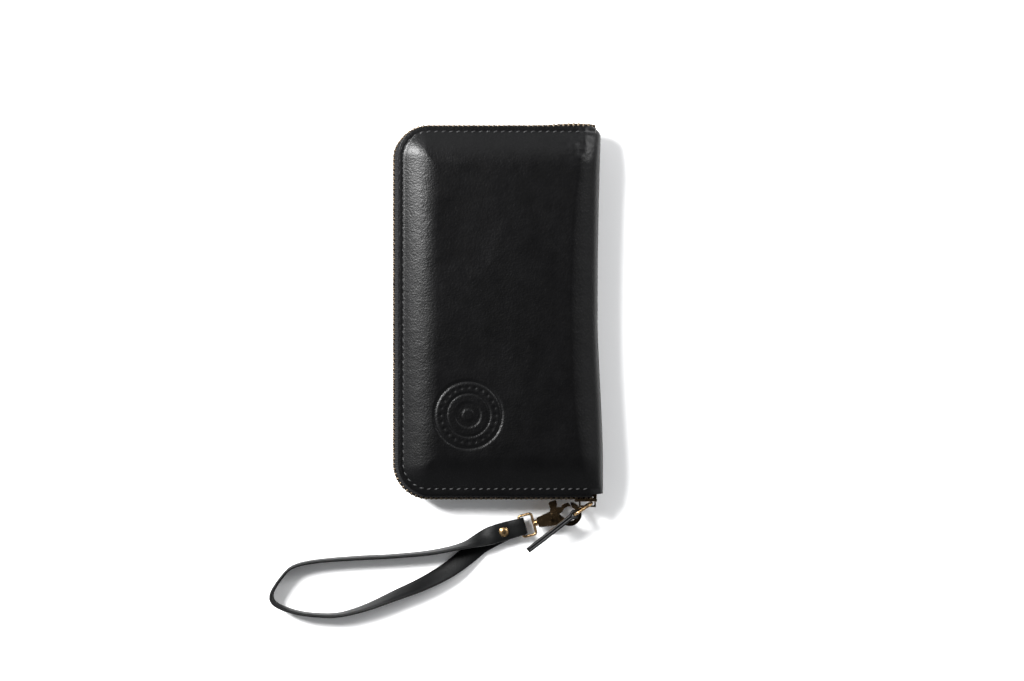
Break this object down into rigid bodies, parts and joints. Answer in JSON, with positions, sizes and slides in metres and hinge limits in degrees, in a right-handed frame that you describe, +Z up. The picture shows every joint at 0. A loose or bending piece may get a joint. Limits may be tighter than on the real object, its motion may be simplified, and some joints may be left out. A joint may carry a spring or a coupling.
{
  "type": "long wallet",
  "caption": "Zip-around long wallet in black leather with card slots, bill compartments, a centre coin pocket and a wrist strap on a swivel clasp.",
  "frame": {"origin": "middle of the flat underside of the back cover", "axes": "+Z up through the closed wallet, +X towards the spine, +Y along the wallet away from the strap"},
  "size_m": [0.1795, 0.2698, 0.026],
  "materials": {
    "black_leather": "smooth semi-gloss, fine grain",
    "strap_leather": "satin, fine grain, dark edge paint",
    "lining_leather": "satin",
    "zip_fabric": "woven tape",
    "foam": "open-cell padding",
    "board": "fibre board",
    "zip_metal": "dark antique",
    "antique_brass": "antique, polished on raised edges",
    "spring_steel": "plain"
  },
  "bodies": {
    "back": {"back_cover": "black_leather", "back_foam": "foam", "back_board": "board", "back_lining": "lining_leather", "back_card_slot_1": "lining_leather", "back_card_slot_2": "lining_leather", "back_card_slot_3": "lining_leather", "back_zip_tape": "zip_fabric", "back_zip_teeth": "zip_metal", "zip_bottom_stop": "zip_metal"},
    "spine": {"spine_leather": "black_leather", "spine_lining": "lining_leather", "coin_pocket_back_wall": "lining_leather", "coin_pocket_front_wall": "lining_leather", "coin_zip_back_tape": "zip_fabric", "coin_zip_front_tape": "zip_fabric", "coin_zip_back_coil": "zip_fabric", "coin_zip_front_coil": "zip_fabric", "back_gusset_top": "lining_leather", "back_gusset_bottom": "lining_leather", "front_gusset_top": "lining_leather", "front_gusset_bottom": "lining_leather"},
    "front": {"front_cover": "black_leather", "front_foam": "foam", "front_board": "board", "front_lining": "lining_leather", "front_card_slot_1": "lining_leather", "front_card_slot_2": "lining_leather", "front_card_slot_3": "lining_leather", "front_zip_tape": "zip_fabric", "front_zip_teeth": "zip_metal"},
    "slider": {"zip_slider": "antique_brass"},
    "ring": {"pull_ring": "antique_brass"},
    "thong": {"pull_thong": "strap_leather"},
    "clasp": {"clasp_body": "antique_brass", "gate_pin": "antique_brass", "gate_spring": "spring_steel"},
    "gate": {"clasp_gate": "antique_brass"},
    "swivel": {"swivel_bail": "antique_brass"},
    "strap": {"wrist_strap": "strap_leather", "rivet_cap": "antique_brass", "rivet_base": "antique_brass"},
    "coin_slider": {"coin_slider": "antique_brass"},
    "coin_puller": {"coin_puller": "antique_brass"}
  },
  "joints": [
    {"name": "spine_fold", "type": "hinge", "parent": "back", "child": "spine", "pos_m": [0.0555, 0, 0.00635], "axis": [0, 1, 0], "range_deg": [0, 35], "deforming": ["back_gusset_top", "back_gusset_bottom"]},
    {"name": "cover_fold", "type": "hinge", "parent": "spine", "child": "front", "pos_m": [0.0555, 0, 0.01965], "axis": [0, 1, 0], "range_deg": [0, 35], "deforming": ["front_gusset_top", "front_gusset_bottom", "front_zip_tape", "front_zip_teeth"]},
    {"name": "zip_slide", "type": "slide", "parent": "back", "child": "slider", "axis": [-1, 0, 0], "range_m": [0, 0.078], "deforming": ["back_zip_tape", "back_zip_teeth"]},
    {"name": "ring_swing", "type": "hinge", "parent": "slider", "child": "ring", "pos_m": [0.0512, -0.10445, 0.0124], "axis": [0, 0, 1], "range_deg": [0, 90]},
    {"name": "thong_swing", "type": "hinge", "parent": "ring", "child": "thong", "pos_m": [0.04181, -0.11055, 0.0124], "axis": [0, 0, 1], "range_deg": [-30, 20]},
    {"name": "clasp_swing", "type": "hinge", "parent": "ring", "child": "clasp", "pos_m": [0.04181, -0.11055, 0.0093], "axis": [0, 0, 1], "range_deg": [0, 60]},
    {"name": "gate_open", "type": "hinge", "parent": "clasp", "child": "gate", "pos_m": [0.0304, -0.11091, 0.0077], "axis": [0.1374, 0.0381, -0.9898], "range_deg": [0, 12], "stiffness_Nm_per_rad": 0.02, "deforming": ["gate_spring"]},
    {"name": "swivel_spin", "type": "hinge", "parent": "clasp", "child": "swivel", "pos_m": [0.02012, -0.11605, 0.00608], "axis": [0.9538, 0.2645, 0.1426], "continuous": true},
    {"name": "strap_swing", "type": "hinge", "parent": "swivel", "child": "strap", "pos_m": [0.01297, -0.11803, 0.00501], "axis": [-0.2672, 0.9636, 0], "range_deg": [0, 55], "deforming": ["wrist_strap"]},
    {"name": "coin_zip_slide", "type": "slide", "parent": "spine", "child": "coin_slider", "axis": [0, 1, 0], "range_m": [0, 0.148]},
    {"name": "coin_puller_swing", "type": "hinge", "parent": "coin_slider", "child": "coin_puller", "pos_m": [-0.0422, -0.074, 0.013], "axis": [0, 0, 1], "range_deg": [-60, 60]}
  ],
  "couplings": [
    {"joint": "cover_fold", "follows": "spine_fold", "ratio": 1}
  ]
}
